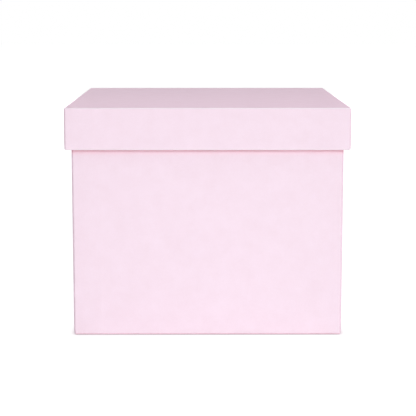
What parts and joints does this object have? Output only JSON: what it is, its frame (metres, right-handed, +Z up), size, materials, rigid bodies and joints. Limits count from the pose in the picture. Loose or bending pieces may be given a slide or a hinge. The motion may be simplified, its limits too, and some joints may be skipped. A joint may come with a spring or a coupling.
{
  "type": "flower box",
  "caption": "Square paper-covered board box with a deep lift-off lid, for holding a flower arrangement.",
  "frame": {"origin": "middle of the underside, on the surface that the box stands on", "axes": "+Z up through the middle of the lid, -Y out of the front wall, +X to the right as seen from the front"},
  "size_m": [0.2, 0.2, 0.163],
  "materials": {
    "greyboard": "raw grey bookbinding board, fibrous and matte",
    "kraft_tape": "unbleached gummed kraft paper, matte",
    "pink_paper": "pale pink uncoated covering paper, matte with a fine grain",
    "lining_paper": "warm white uncoated lining paper, matte"
  },
  "bodies": {
    "box_base": {"base_floor_board": "greyboard", "base_front_board": "greyboard", "base_back_board": "greyboard", "base_left_board": "greyboard", "base_right_board": "greyboard", "base_stay_front_left": "kraft_tape", "base_stay_front_right": "kraft_tape", "base_stay_back_left": "kraft_tape", "base_stay_back_right": "kraft_tape", "base_wrap": "pink_paper", "base_wall_lining": "lining_paper", "base_floor_lining": "lining_paper", "base_underside_sheet": "pink_paper"},
    "lid": {"lid_top_board": "greyboard", "lid_front_board": "greyboard", "lid_back_board": "greyboard", "lid_left_board": "greyboard", "lid_right_board": "greyboard", "lid_stay_front_left": "kraft_tape", "lid_stay_front_right": "kraft_tape", "lid_stay_back_left": "kraft_tape", "lid_stay_back_right": "kraft_tape", "lid_wrap": "pink_paper", "lid_lining": "lining_paper"}
  },
  "joints": [
    {"name": "lid_lift", "type": "slide", "parent": "box_base", "child": "lid", "axis": [0, 0, 1], "range_m": [0, 0.06]}
  ]
}
